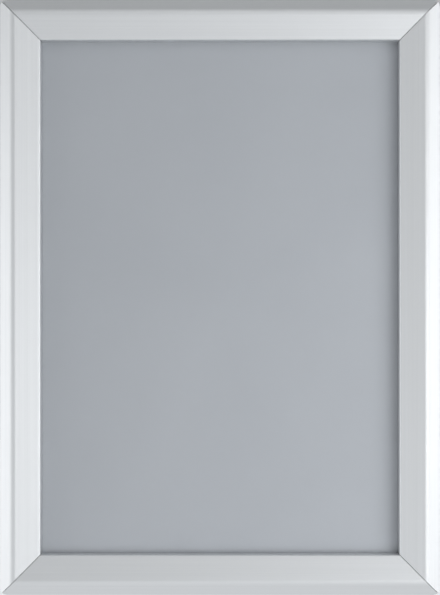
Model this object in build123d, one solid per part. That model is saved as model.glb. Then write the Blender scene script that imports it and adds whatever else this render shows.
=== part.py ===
from build123d import *
import math
import os

# Snap-open poster frame for one upright A4 sheet, hung on a wall. All sizes are in millimetres.
# X runs across the frame, Z is up and the front faces -Y.
# The origin lies on the wall plane, at the middle of the four wall-screw holes.
# A rail is drawn lying along s, with u inward from the frame's outer edge and v forward from the wall.

# Sheet and backing panel
sheet_width = 210.0
sheet_height = 297.0
sheet_thickness = 0.5
panel_thickness = 1.0

# Clip rail, the front rail that swings open
profile_width = 23.0
sheet_overlap = 4.5
clip_wall = 1.2
slope_width = 7.3
slope_angle = 33.0
front_tilt = 10.0
ridge_radius = 5.0
lip_radius = 1.2
inside_radius = 0.4
foot_width = 2.2
foot_thickness = 1.0
corner_radius = 4.5

# Hinge: a bead on the base rail inside a hook on the clip rail
bead_radius = 1.5
neck_width = 1.2
open_angle = 100.0

# Base rail
base_inset = 0.5
edge_wall = 1.0
flange_thickness = 1.2
flange_overlap = 2.5
ledge_thickness = 0.8
ledge_setback = 0.9
web_thickness = 1.1
rib_thickness = 1.2
rib_cap = 0.6
channel_lip = 1.2
channel_lip_thickness = 1.0
shoulder_height = 0.3

# Wall-screw holes in the side base rails
screw_hole_radius = 2.0
screw_hole_to_corner = 35.0

# Corner keys and their set screws
key_width = 4.6
key_thickness = 2.6
key_leg = 34.0
set_screw_radius = 1.5
set_screw_recess = 0.2
socket_flats = 1.5
socket_depth = 1.2

# Leaf springs
springs_per_rail = 2
spring_length = 45.0
spring_end_margin = 26.5
strip_thickness = 0.3
curl_bore = 0.15
spring_rise = 0.8
seat_from_leg_end = 1.1

# Clearances
hinge_gap = 0.1
stop_gap = 0.2
hook_floor_gap = 1.0
edge_wall_gap = 0.3
leg_end_gap = 2.0
mitre_gap = 0.3
sheet_play = 0.3
panel_play = 0.1
key_play = 0.2
key_depth_play = 0.4
thread_gap = 0.05
grip_gap = 0.05
spring_gap = 0.05
seat_proud = 0.1

# Frame outline
sheet_edge = profile_width - sheet_overlap
outer_width = sheet_width + 2 * sheet_edge
outer_height = sheet_height + 2 * sheet_edge

# Stack of layers from the wall forward
panel_back = flange_thickness + panel_play
ledge_back = panel_back + panel_thickness + panel_play
sheet_back = ledge_back + ledge_thickness
sheet_front = sheet_back + sheet_thickness

# Base rail stations from the sheet's edge outward
web_inner = sheet_edge - sheet_play
web_outer = web_inner - web_thickness
channel_outer = web_outer - key_width - 2 * key_play
channel_middle = (channel_outer + web_outer) / 2
channel_top = flange_thickness + key_thickness + key_depth_play
set_screw_length = channel_top - flange_thickness - set_screw_recess
rib_outer = channel_outer - rib_thickness

# Hinge. The hook's two ends come close to the neck, one when the clip rail is shut and one when it is open
hook_bore = bead_radius + hinge_gap
hook_radius = hook_bore + clip_wall
shut_angle = math.degrees(math.asin((neck_width / 2 + hinge_gap) / hook_bore))
stop_angle = math.degrees(math.asin((neck_width / 2 + stop_gap) / hook_bore))
hook_start = shut_angle - 90
hook_end = 270 - stop_angle - open_angle
hinge_u = -hook_radius * math.cos(math.radians(max(hook_end, 90 + slope_angle)))
hinge_v = flange_thickness + hook_floor_gap + hook_radius
screw_hole_u = (hinge_u + neck_width / 2 + rib_outer) / 2


def polar(centre, radius, angle):
    """The point at this radius and angle, in degrees, from a centre."""
    turn = math.radians(angle)
    return (centre[0] + radius * math.cos(turn), centre[1] + radius * math.sin(turn))


# Spring seats. The clip seat is measured round the hook from its leg's end. The base seat is in line with it
# and the hinge when the rail is half open
hinge = (hinge_u, hinge_v)
curl_radius = curl_bore + strip_thickness
seat_radius = curl_radius + spring_gap
clip_seat_angle = hook_start + math.degrees(seat_from_leg_end / hook_radius)
base_seat_angle = clip_seat_angle + open_angle / 2
base_seat_u = rib_outer - seat_proud
base_seat_reach = (base_seat_u - hinge_u) / math.cos(math.radians(base_seat_angle))
base_seat = polar(hinge, base_seat_reach, base_seat_angle)
clip_seat_reach = hook_radius + seat_proud
clip_seat = polar(hinge, clip_seat_reach, clip_seat_angle)
spring_chord = math.dist(base_seat, clip_seat)
spring_bearing = math.degrees(math.atan2(clip_seat[1] - base_seat[1], clip_seat[0] - base_seat[0]))
spring_tip = math.degrees(math.asin(clip_seat_reach * math.sin(math.radians(open_angle / 2)) / spring_chord))

# Clip rail front
slope_start = polar(hinge, hook_radius, 90 + slope_angle)
slope_rise = math.tan(math.radians(slope_angle))
front_fall = math.tan(math.radians(front_tilt))
ridge_v = slope_start[1] + (slope_width - slope_start[0]) * slope_rise
lip_v = ridge_v - (profile_width - slope_width) * front_fall
foot_back = sheet_front + grip_gap


def slab(u0, u1, v0, v1):
    """A rectangle of a rail's section."""
    return Pos((u0 + u1) / 2, (v0 + v1) / 2) * Rectangle(u1 - u0, v1 - v0)


def hook_section():
    """The clip rail's hook: a ring about the hinge, open towards the neck."""
    sweep = hook_end - hook_start
    outside = CenterArc(hinge, hook_radius, hook_start, sweep)
    inside = CenterArc(hinge, hook_bore, hook_start, sweep)
    ends = [Line(outside @ 0, inside @ 0), Line(outside @ 1, inside @ 1)]
    return make_face([outside, inside] + ends)


def clip_section():
    """The clip rail: hook, outer slope, front face, inner wall and foot, all in one wall thickness."""
    slope_inside = polar(hinge, hook_bore, 90 + slope_angle)
    front_drop = clip_wall / math.cos(math.radians(front_tilt))
    wall_u = profile_width - clip_wall
    wall_top = lip_v + clip_wall * front_fall - front_drop
    ridge_gap = wall_top + wall_u * front_fall - slope_inside[1] + slope_inside[0] * slope_rise
    ridge_inside_u = ridge_gap / (slope_rise + front_fall)
    ridge_inside = (ridge_inside_u, wall_top + (wall_u - ridge_inside_u) * front_fall)
    foot_u = profile_width - foot_width
    outline = [
        slope_start,
        (slope_width, ridge_v),
        (profile_width, lip_v),
        (profile_width, foot_back),
        (foot_u, foot_back),
        (foot_u, foot_back + foot_thickness),
        (wall_u, foot_back + foot_thickness),
        (wall_u, wall_top),
        ridge_inside,
        slope_inside,
    ]
    section = make_face(Polyline(outline, close=True))
    rounds = [
        ((slope_width, ridge_v), ridge_radius),
        ((profile_width, lip_v), lip_radius),
        (ridge_inside, ridge_radius - clip_wall),
        ((wall_u, wall_top), inside_radius),
    ]
    for corner, radius in rounds:
        section = fillet(section.vertices().sort_by_distance((*corner, 0))[0], radius)
    return section + hook_section() - Pos(*clip_seat) * Circle(seat_radius)


def base_section():
    """The base rail: back flange, hinge bead on its neck, spring rib, key channel and sheet ledge."""
    rib_top = base_seat[1] + seat_radius + rib_cap
    lip_top = channel_top + channel_lip_thickness
    web_top = max(lip_top, sheet_front + shoulder_height)
    section = slab(base_inset, sheet_edge + flange_overlap, 0, flange_thickness)
    section += slab(base_inset, base_inset + edge_wall, 0, hinge_v - hook_radius - edge_wall_gap)
    section += slab(hinge_u - neck_width / 2, hinge_u + neck_width / 2, 0, hinge_v)
    section += Pos(*hinge) * Circle(bead_radius)
    section += slab(rib_outer, channel_outer, 0, rib_top)
    section += slab(rib_outer, channel_outer + channel_lip, channel_top, lip_top)
    section += slab(web_outer - channel_lip, web_inner, channel_top, lip_top)
    section += slab(web_outer, web_inner, 0, web_top)
    section += slab(web_outer, profile_width - ledge_setback, ledge_back, sheet_back)
    return section - Pos(*base_seat) * Circle(seat_radius)


def spring_section():
    """A leaf spring: a strip that arches between two rolled edges, one in each seat."""
    quarter = spring_chord / 4
    crown = (2 * quarter, -spring_rise)
    first = TangentArc((0, 0), (quarter, -spring_rise / 2), tangent=(1, 0))
    second = TangentArc(first @ 1, crown, tangent=first % 1)
    third = TangentArc(crown, (3 * quarter, -spring_rise / 2), tangent=(1, 0))
    fourth = TangentArc(third @ 1, (spring_chord, 0), tangent=third % 1)
    section = trace(Wire([first, second, third, fourth]), strip_thickness)
    for end in (0, spring_chord):
        section += Pos(end, 0) * Circle(curl_radius)
    for end in (0, spring_chord):
        section -= Pos(end, 0) * Circle(curl_bore)
    return Pos(*base_seat) * Rot(0, 0, spring_bearing) * section


def bar(section, length):
    """A section extruded along s, centred on s = 0."""
    return extrude(Plane.YZ * section, amount=length / 2, both=True)


def mitred(section, length, gap):
    """A bar with both ends cut at 45 degrees, back from the mitre plane by half the gap, and its tips rounded."""
    setback = gap / math.sqrt(2)
    near = -profile_width
    far = 2 * profile_width
    corners = [
        (near - length / 2 + setback, near),
        (length / 2 - near - setback, near),
        (length / 2 - far - setback, far),
        (far - length / 2 + setback, far),
    ]
    plan = make_face(Polyline(corners, close=True))
    for end in (-1, 1):
        tip = Pos(end * length / 2, 0) * Rectangle(2 * corner_radius, 2 * corner_radius)
        tip -= Pos(end * (length / 2 - corner_radius), corner_radius) * Circle(corner_radius)
        plan -= tip
    return bar(section, length) & extrude(plan, amount=2 * ridge_v, both=True)


def clip_rail(length):
    """A clip rail, with the inner half of its hook cut short of the mitres so that it can turn past them."""
    rail = mitred(clip_section(), length, mitre_gap)
    leg_end = length / 2 - hinge_u - hook_radius - leg_end_gap
    reach = hook_radius + seat_radius
    for end in (-1, 1):
        middle = end * (length / 2 + leg_end) / 2
        notch = Box(length / 2 - leg_end, reach, hinge_v, align=(Align.CENTER, Align.MIN, Align.MIN))
        rail -= Pos(middle, hinge_u, 0) * notch
    return rail


def base_rail(length, has_screw_holes):
    """A base rail. The wall-screw holes lie midway between the hinge neck and the spring rib."""
    rail = mitred(base_section(), length, 0)
    if has_screw_holes:
        for end in (-1, 1):
            hole = Cylinder(screw_hole_radius, 2 * flange_thickness + hook_floor_gap)
            rail -= Pos(end * (length / 2 - screw_hole_to_corner), screw_hole_u, 0) * hole
    return rail


def corner_point(corner, across, up, forward):
    """A point given by its distances from a corner's two outer edges and from the wall."""
    x = corner[0] * (outer_width / 2 - across)
    z = corner[1] * (outer_height / 2 - up)
    return (x, -forward, z)


def set_screw_sites(corner):
    """Where a corner's two set screws stand on the channel floor, midway along the key's free legs."""
    along = channel_outer + key_play + (key_width + key_leg) / 2
    places = [(along, channel_middle), (channel_middle, along)]
    return [Plane(corner_point(corner, *place, flange_thickness), z_dir=(0, -1, 0)) for place in places]


def corner_key(corner):
    """An L-shaped plate drawn up against the channel lips, with a threaded hole in each leg."""
    near = channel_outer + key_play
    inner = near + key_width
    far = near + key_leg
    outline = [(near, near), (far, near), (far, inner), (inner, inner), (inner, far), (near, far)]
    back = channel_top - key_thickness
    plate = make_face(Polyline([corner_point(corner, *point, back) for point in outline], close=True))
    key = extrude(plate, amount=key_thickness, dir=(0, -1, 0))
    for site in set_screw_sites(corner):
        key -= site * Cylinder(set_screw_radius + thread_gap, 2 * channel_top)
    return key


def set_screws(corner):
    """A corner's two set screws, each with a hexagon socket in its front end."""
    screws = []
    base = (Align.CENTER, Align.CENTER, Align.MIN)
    for site in set_screw_sites(corner):
        screw = Cylinder(set_screw_radius, set_screw_length, align=base)
        socket = extrude(RegularPolygon(socket_flats / 2, 6, major_radius=False), amount=socket_depth)
        screws.append(site * (screw - Pos(0, 0, set_screw_length - socket_depth) * socket))
    return Compound(children=screws)


def sheet(thickness, back):
    """A flat sheet with the poster's outline, standing in the frame."""
    return Pos(0, -back - thickness / 2, 0) * Box(sheet_width, thickness, sheet_height)


front = (0, -1, 0)
sides = {
    "top": (outer_width, Plane((0, 0, outer_height / 2), x_dir=(-1, 0, 0), z_dir=front)),
    "bottom": (outer_width, Plane((0, 0, -outer_height / 2), x_dir=(1, 0, 0), z_dir=front)),
    "left": (outer_height, Plane((-outer_width / 2, 0, 0), x_dir=(0, 0, -1), z_dir=front)),
    "right": (outer_height, Plane((outer_width / 2, 0, 0), x_dir=(0, 0, 1), z_dir=front)),
}
corners = {
    "top_left": (-1, 1),
    "top_right": (1, 1),
    "bottom_left": (-1, -1),
    "bottom_right": (1, -1),
}

nodes = {}
for side, (length, place) in sides.items():
    nodes[f"base_rail_{side}"] = place * base_rail(length, side in ("left", "right"))
    nodes[f"clip_rail_{side}"] = place * clip_rail(length)
    spring = bar(spring_section(), spring_length)
    spring_share = (length - 2 * spring_end_margin) / springs_per_rail
    for number in range(springs_per_rail):
        spring_place = place * Pos((number + 0.5 - springs_per_rail / 2) * spring_share, 0, 0)
        nodes[f"leaf_spring_{side}_{number + 1}"] = spring_place * spring
for name, corner in corners.items():
    nodes[f"corner_key_{name}"] = corner_key(corner)
    nodes[f"set_screws_{name}"] = set_screws(corner)
nodes["backing_panel"] = sheet(panel_thickness, panel_back)
nodes["cover_sheet"] = sheet(sheet_thickness, sheet_back)

os.makedirs("parts", exist_ok=True)
for name, shape in nodes.items():
    export_step(shape, f"parts/{name}.step")

print(f"outer size {outer_width:.3f} x {outer_height:.3f}, ridge {ridge_v:.3f}")
print(f"hinge from the outer edge {hinge_u:.4f}, from the wall {hinge_v:.4f}")
print(f"spring seat from the outer edge {base_seat[0]:.4f}, from the wall {base_seat[1]:.4f}")
print(f"spring tips {2 * spring_tip:.4f} degrees back as the clip rail opens {open_angle:.1f}")
print(f"wall-screw holes {screw_hole_u:.4f} from the outer edge")
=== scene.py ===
import math

import bpy
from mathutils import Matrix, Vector


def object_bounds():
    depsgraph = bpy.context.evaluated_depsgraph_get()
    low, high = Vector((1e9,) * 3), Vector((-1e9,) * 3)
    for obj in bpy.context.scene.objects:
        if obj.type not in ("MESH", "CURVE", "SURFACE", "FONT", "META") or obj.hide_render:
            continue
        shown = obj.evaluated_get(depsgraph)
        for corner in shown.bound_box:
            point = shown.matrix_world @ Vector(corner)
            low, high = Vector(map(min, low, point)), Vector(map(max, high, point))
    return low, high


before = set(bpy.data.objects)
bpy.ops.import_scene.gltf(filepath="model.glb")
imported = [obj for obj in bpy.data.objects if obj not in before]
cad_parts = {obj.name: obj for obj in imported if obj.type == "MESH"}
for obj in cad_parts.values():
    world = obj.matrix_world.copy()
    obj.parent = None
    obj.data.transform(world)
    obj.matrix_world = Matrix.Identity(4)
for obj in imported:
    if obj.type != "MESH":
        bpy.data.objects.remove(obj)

# Snap-open poster frame, seen straight from the front. Sizes are in metres and angles in degrees.
cad_low, cad_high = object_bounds()
frame_width, _, frame_height = cad_high - cad_low
frame_middle = (cad_low + cad_high) / 2

# Rails: the finishes of the two extrusions, their sawn mitres and the line at a closed joint
clip_finish = {"pale": (0.742, 0.756, 0.771), "dark": (0.713, 0.727, 0.742), "smooth": 0.46, "rough": 0.54}
base_finish = {"pale": (0.74, 0.745, 0.75), "dark": (0.67, 0.675, 0.68), "smooth": 0.30, "rough": 0.42}
cut_color = (0.86, 0.86, 0.86)
cut_lean_start = 0.66
cut_lean_full = 0.70
joint_color = (0.12, 0.12, 0.12)
joint_line = 0.0003

# Camera: its distance from the wall, the outline's distance from the wall, and the sensor in millimetres
camera_distance = 0.75
outline_depth = 0.0068
sensor_size = 36.0

# Floor: floor_even is the share of it that looks the same all over
floor_radius = 6.5
floor_points = 96
floor_drop = 0.6
floor_color = (0.80, 0.80, 0.79)
floor_roughness = 0.6
floor_glow = (0.97, 0.985, 1.0)
floor_even = 0.73

# Sky: its level changes from where a direction's upward part passes overhead_start
sky_color = (0.97, 0.99, 1.0)
sky_level = 0.455
sky_overhead = 0.41
overhead_start = 0.6

# Places of the colours among a mix node's sockets, where several share a name
FIRST_COLOR = 6
SECOND_COLOR = 7
MIXED_COLOR = 2


def add_node(tree, kind, values=None, **settings):
    """A shader node with its settings, and with values for its inputs by name or number."""
    made = tree.nodes.new(kind)
    for name, value in settings.items():
        setattr(made, name, value)
    for name, value in (values or {}).items():
        made.inputs[name].default_value = value
    return made


def new_material(name, **values):
    """A material with one main shader, whose constant inputs are given by name."""
    material = bpy.data.materials.new(name)
    material.use_nodes = True
    shader = material.node_tree.nodes["Principled BSDF"]
    for label, value in values.items():
        shader.inputs[label.replace("_", " ").title().replace("Ior", "IOR")].default_value = value
    return material, material.node_tree, shader


def noise(tree, per_metre, detail):
    """Noise in the piece's own space, with this many features per metre along each of X, Y and Z."""
    place = add_node(tree, "ShaderNodeTexCoord")
    stretch = add_node(tree, "ShaderNodeMapping", {"Scale": per_metre})
    pattern = add_node(tree, "ShaderNodeTexNoise", {"Scale": 1.0, "Detail": detail})
    tree.links.new(place.outputs["Object"], stretch.inputs["Vector"])
    tree.links.new(stretch.outputs["Vector"], pattern.inputs["Vector"])
    return pattern.outputs["Fac"]


def grain(tree, per_metre, detail=2.0):
    """Noise that is the same in every direction."""
    return noise(tree, (per_metre, per_metre, per_metre), detail)


def lines(tree, along, length, width, detail=2.0):
    """Noise drawn out into lines of about this length and width, running along one axis."""
    return noise(tree, [1 / length if part else 1 / width for part in along], detail)


def spread(tree, factor, low=0.0, high=1.0, start=0.3, end=0.7):
    """A number that runs from low to high as the factor runs from start to end."""
    values = {"From Min": start, "From Max": end, "To Min": low, "To Max": high}
    ramp = add_node(tree, "ShaderNodeMapRange", values)
    tree.links.new(factor, ramp.inputs["Value"])
    return ramp.outputs["Result"]


def blend_colors(tree, factor, first, second):
    """A colour between two, each a colour or another node's output."""
    mix = add_node(tree, "ShaderNodeMix", data_type="RGBA")
    tree.links.new(factor, mix.inputs["Factor"])
    for place, color in ((FIRST_COLOR, first), (SECOND_COLOR, second)):
        if isinstance(color, bpy.types.NodeSocket):
            tree.links.new(color, mix.inputs[place])
        else:
            mix.inputs[place].default_value = (*color, 1)
    return mix.outputs[MIXED_COLOR]


def raise_surface(tree, shader, height, depth, strength):
    """Lets a pattern stand up from the surface by this depth."""
    bump = add_node(tree, "ShaderNodeBump", {"Distance": depth, "Strength": strength})
    tree.links.new(height, bump.inputs["Height"])
    tree.links.new(bump.outputs["Normal"], shader.inputs["Normal"])


def cut_mask(tree, along):
    """1 on the faces sawn at 45 degrees across this axis, and 0 elsewhere."""
    place = add_node(tree, "ShaderNodeTexCoord")
    lean = add_node(tree, "ShaderNodeVectorMath", {1: along}, operation="DOT_PRODUCT")
    size = add_node(tree, "ShaderNodeMath", operation="ABSOLUTE")
    tree.links.new(place.outputs["Normal"], lean.inputs[0])
    tree.links.new(lean.outputs["Value"], size.inputs[0])
    return spread(tree, size.outputs[0], start=cut_lean_start, end=cut_lean_full)


def joint_mask(tree):
    """1 on the fine line where two mitred rails meet, and 0 elsewhere."""
    place = add_node(tree, "ShaderNodeTexCoord")
    size = add_node(tree, "ShaderNodeVectorMath", operation="ABSOLUTE")
    parts = add_node(tree, "ShaderNodeSeparateXYZ")
    lean = add_node(tree, "ShaderNodeMath", operation="SUBTRACT")
    off = add_node(tree, "ShaderNodeMath", {1: (frame_width - frame_height) / 2}, operation="SUBTRACT")
    distance = add_node(tree, "ShaderNodeMath", operation="ABSOLUTE")
    tree.links.new(place.outputs["Object"], size.inputs[0])
    tree.links.new(size.outputs["Vector"], parts.inputs["Vector"])
    tree.links.new(parts.outputs["X"], lean.inputs[0])
    tree.links.new(parts.outputs["Z"], lean.inputs[1])
    tree.links.new(lean.outputs[0], off.inputs[0])
    tree.links.new(off.outputs[0], distance.inputs[0])
    return spread(tree, distance.outputs[0], low=1.0, high=0.0, start=joint_line / 2, end=joint_line)


def spread_across(tree, shader, along):
    """Draws highlights out across the lines that run along this axis."""
    surface = add_node(tree, "ShaderNodeNewGeometry")
    across = add_node(tree, "ShaderNodeVectorMath", {1: along}, operation="CROSS_PRODUCT")
    tree.links.new(surface.outputs["Normal"], across.inputs[0])
    tree.links.new(across.outputs["Vector"], shader.inputs["Tangent"])


def extruded_aluminium(name, along, pale, dark, smooth, rough, has_joints):
    """Aluminium with fine die lines along the rail and bright saw-cut mitres."""
    material, tree, shader = new_material(name, metallic=1.0, anisotropic=0.2)
    die_lines = lines(tree, along, length=0.25, width=0.0009, detail=3.0)
    fine_lines = lines(tree, along, length=0.02, width=0.00012)
    clouds = grain(tree, per_metre=40, detail=3.0)
    tone = blend_colors(tree, spread(tree, die_lines), dark, pale)
    tone = blend_colors(tree, spread(tree, clouds, high=0.25), tone, dark)
    tone = blend_colors(tree, cut_mask(tree, along), tone, cut_color)
    if has_joints:
        tone = blend_colors(tree, joint_mask(tree), tone, joint_color)
    tree.links.new(tone, shader.inputs["Base Color"])
    tree.links.new(spread(tree, fine_lines, low=smooth, high=rough), shader.inputs["Roughness"])
    raise_surface(tree, shader, fine_lines, depth=0.00001, strength=0.25)
    spread_across(tree, shader, along)
    return material


def spring_steel(name, along):
    """Bright rolled strip with lines along its length and a faint straw tint from tempering."""
    dark = (0.42, 0.43, 0.45)
    pale = (0.51, 0.52, 0.54)
    straw = (0.52, 0.48, 0.41)
    material, tree, shader = new_material(name, metallic=1.0)
    rolled = lines(tree, along, length=0.03, width=0.0004, detail=3.0)
    temper = grain(tree, per_metre=60)
    tone = blend_colors(tree, spread(tree, rolled), dark, pale)
    tone = blend_colors(tree, spread(tree, temper, high=0.5), tone, straw)
    tree.links.new(tone, shader.inputs["Base Color"])
    tree.links.new(spread(tree, rolled, low=0.28, high=0.40), shader.inputs["Roughness"])
    raise_surface(tree, shader, rolled, depth=0.00002, strength=0.15)
    return material


def zinc_plate():
    """Passivated zinc plating, cloudy, with a trace of blue and yellow."""
    blue = (0.55, 0.57, 0.60)
    pale = (0.66, 0.66, 0.64)
    yellow = (0.63, 0.60, 0.50)
    material, tree, shader = new_material("key_zinc", metallic=1.0)
    clouds = grain(tree, per_metre=180, detail=4.0)
    stain = grain(tree, per_metre=70)
    tone = blend_colors(tree, spread(tree, clouds), blue, pale)
    tone = blend_colors(tree, spread(tree, stain, high=0.4), tone, yellow)
    tree.links.new(tone, shader.inputs["Base Color"])
    tree.links.new(spread(tree, clouds, low=0.32, high=0.5), shader.inputs["Roughness"])
    raise_surface(tree, shader, clouds, depth=0.00003, strength=0.3)
    return material


def black_oxide():
    """Blackened steel, a little worn to grey."""
    black = (0.025, 0.025, 0.03)
    worn = (0.07, 0.07, 0.075)
    material, tree, shader = new_material("screw_black", metallic=0.8)
    wear = grain(tree, per_metre=900, detail=3.0)
    tone = blend_colors(tree, spread(tree, wear), black, worn)
    tree.links.new(tone, shader.inputs["Base Color"])
    tree.links.new(spread(tree, wear, low=0.35, high=0.5), shader.inputs["Roughness"])
    raise_surface(tree, shader, wear, depth=0.00002, strength=0.3)
    return material


def grey_board():
    """Matt grey plastic board with a fine grain and a faint mottle."""
    dark = (0.394, 0.415, 0.447)
    pale = (0.413, 0.434, 0.466)
    speck = (0.330, 0.345, 0.375)
    material, tree, shader = new_material("panel_grey")
    specks = grain(tree, per_metre=2500)
    mottle = grain(tree, per_metre=14, detail=3.0)
    tone = blend_colors(tree, spread(tree, mottle), dark, pale)
    tone = blend_colors(tree, spread(tree, specks, high=0.12), tone, speck)
    tree.links.new(tone, shader.inputs["Base Color"])
    tree.links.new(spread(tree, specks, low=0.62, high=0.78), shader.inputs["Roughness"])
    raise_surface(tree, shader, specks, depth=0.00004, strength=0.25)
    return material


def clear_sheet():
    """Clear anti-glare plastic: almost nothing of its own colour, and a matt surface."""
    dark = (0.435, 0.458, 0.488)
    pale = (0.465, 0.488, 0.518)
    material, tree, shader = new_material("sheet_clear", alpha=0.12, specular_ior_level=1.0)
    frost = grain(tree, per_metre=3000)
    haze = grain(tree, per_metre=20)
    tone = blend_colors(tree, spread(tree, haze), dark, pale)
    tree.links.new(tone, shader.inputs["Base Color"])
    tree.links.new(spread(tree, frost, low=0.38, high=0.46), shader.inputs["Roughness"])
    raise_surface(tree, shader, frost, depth=0.00002, strength=0.2)
    return material


def dress(node, material):
    """Gives a CAD node its finish."""
    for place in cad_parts[node].material_slots:
        place.material = material


def dress_all(start, material):
    """Gives every CAD node whose name starts this way its finish."""
    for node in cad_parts:
        if node.startswith(start):
            dress(node, material)


def dress_rails(label, along, sides):
    """Clip rails, base rails and springs on two sides, with lines along these rails."""
    clip = extruded_aluminium(f"clip_aluminium_{label}", along, **clip_finish, has_joints=False)
    base = extruded_aluminium(f"base_aluminium_{label}", along, **base_finish, has_joints=True)
    spring = spring_steel(f"spring_steel_{label}", along)
    for side in sides:
        dress(f"clip_rail_{side}", clip)
        dress(f"base_rail_{side}", base)
        dress_all(f"leaf_spring_{side}", spring)


def dress_inside():
    """Corner keys, set screws, backing panel and cover sheet."""
    dress_all("corner_key", zinc_plate())
    dress_all("set_screws", black_oxide())
    dress("backing_panel", grey_board())
    dress("cover_sheet", clear_sheet())


def pale_floor():
    """Matt and pale. What the camera and the metal see of it is partly even, and the rest keeps shadows."""
    material, tree, shader = new_material("floor_pale", roughness=floor_roughness)
    shader.inputs["Base Color"].default_value = (*floor_color, 1)
    path = add_node(tree, "ShaderNodeLightPath")
    seen = path.outputs["Is Camera Ray"]
    for kind in ("Is Glossy Ray", "Is Transmission Ray"):
        either = add_node(tree, "ShaderNodeMath", operation="MAXIMUM")
        tree.links.new(seen, either.inputs[0])
        tree.links.new(path.outputs[kind], either.inputs[1])
        seen = either.outputs[0]
    even = add_node(tree, "ShaderNodeEmission", {"Color": (*floor_glow, 1)})
    mix = add_node(tree, "ShaderNodeMixShader")
    tree.links.new(spread(tree, seen, high=floor_even, start=0.0, end=1.0), mix.inputs["Fac"])
    tree.links.new(shader.outputs["BSDF"], mix.inputs[1])
    tree.links.new(even.outputs["Emission"], mix.inputs[2])
    tree.links.new(mix.outputs["Shader"], tree.nodes["Material Output"].inputs["Surface"])
    return material


def make_floor():
    """A plain round floor below the frame, which hangs from its screws."""
    turns = [2 * math.pi * point / floor_points for point in range(floor_points)]
    rim = [(floor_radius * math.cos(turn), floor_radius * math.sin(turn), 0) for turn in turns]
    mesh = bpy.data.meshes.new("floor")
    mesh.from_pydata(rim, [], [range(floor_points)])
    mesh.materials.append(pale_floor())
    floor = bpy.data.objects.new("floor", mesh)
    floor.location.z = cad_low.z - floor_drop
    bpy.context.scene.collection.objects.link(floor)
    return floor


def spare_from_lamps(floor):
    """A group that keeps the lamps' light off the floor, so that only the sky lights it, evenly."""
    group = bpy.data.collections.new("spared_from_lamps")
    group.objects.link(floor)
    group.collection_objects[0].light_linking.link_state = "EXCLUDE"
    return group


def make_sky():
    """Soft light from all round, less from overhead."""
    world = bpy.data.worlds.new("studio")
    bpy.context.scene.world = world
    world.use_nodes = True
    tree = world.node_tree
    place = add_node(tree, "ShaderNodeTexCoord")
    parts = add_node(tree, "ShaderNodeSeparateXYZ")
    tree.links.new(place.outputs["Generated"], parts.inputs["Vector"])
    strength = spread(tree, parts.outputs["Z"], sky_level, sky_overhead, start=overhead_start, end=1.0)
    background = tree.nodes["Background"]
    background.inputs["Color"].default_value = (*sky_color, 1)
    tree.links.new(strength, background.inputs["Strength"])


def add_softbox(spared, name, azimuth, elevation, distance, size, level, in_metal=True):
    """A rectangular softbox facing the frame, with its azimuth from the front towards +X.

    Level is its brightness, and in_metal says whether reflections show it.
    """
    light = bpy.data.lights.new(name, "AREA")
    light.shape = "RECTANGLE"
    light.size, light.size_y = size
    light.energy = level * math.pi * size[0] * size[1]
    box = bpy.data.objects.new(name, light)
    turn = math.radians(azimuth)
    lift = math.radians(elevation)
    away = Vector((math.sin(turn) * math.cos(lift), -math.cos(turn) * math.cos(lift), math.sin(lift)))
    box.location = frame_middle + away * distance
    box.rotation_mode = "QUATERNION"
    box.rotation_quaternion = away.to_track_quat("Z", "Y")
    box.visible_camera = False
    box.visible_glossy = in_metal
    box.light_linking.receiver_collection = spared
    bpy.context.scene.collection.objects.link(box)


def light_studio(spared):
    """Key from the right and softer light from the other sides."""
    add_softbox(spared, "key_light", azimuth=30, elevation=-10, distance=3.0, size=(1.4, 1.6), level=3.8)
    add_softbox(spared, "top_light", azimuth=5, elevation=38, distance=3.0, size=(1.6, 0.9), level=1.3)
    add_softbox(
        spared, "right_side_light", azimuth=78, elevation=2, distance=2.0, size=(1.2, 1.5), level=1.6
    )
    add_softbox(
        spared, "left_side_light", azimuth=-74, elevation=-3, distance=2.0, size=(1.5, 1.3), level=1.27
    )
    add_softbox(spared, "back_light", azimuth=165, elevation=35, distance=2.5, size=(1.5, 1.5), level=2.2)


def fill_panel(spared):
    """Two near lamps that only matt surfaces show, for the panel."""
    add_softbox(
        spared, "low_fill_light", azimuth=0, elevation=-35, distance=0.65, size=(0.35, 0.35), level=1.9,
        in_metal=False,
    )
    add_softbox(
        spared, "right_fill_light", azimuth=56, elevation=-9, distance=0.6, size=(0.3, 0.4), level=5.3,
        in_metal=False,
    )


def make_camera():
    """A level camera in front of the middle, with the frame's outline filling the picture's height."""
    lens = bpy.data.cameras.new("camera")
    lens.sensor_width = sensor_size
    lens.lens = sensor_size * (camera_distance - outline_depth) / frame_height
    camera = bpy.data.objects.new("camera", lens)
    camera.location = (frame_middle.x, -camera_distance, frame_middle.z)
    camera.rotation_euler = (math.radians(90), 0, 0)
    bpy.context.scene.collection.objects.link(camera)
    bpy.context.scene.camera = camera


dress_rails("across", Vector((1, 0, 0)), ("top", "bottom"))
dress_rails("upright", Vector((0, 0, 1)), ("left", "right"))
dress_inside()
spared = spare_from_lamps(make_floor())
make_sky()
light_studio(spared)
fill_panel(spared)
make_camera()
bpy.context.scene.view_settings.view_transform = "Standard"
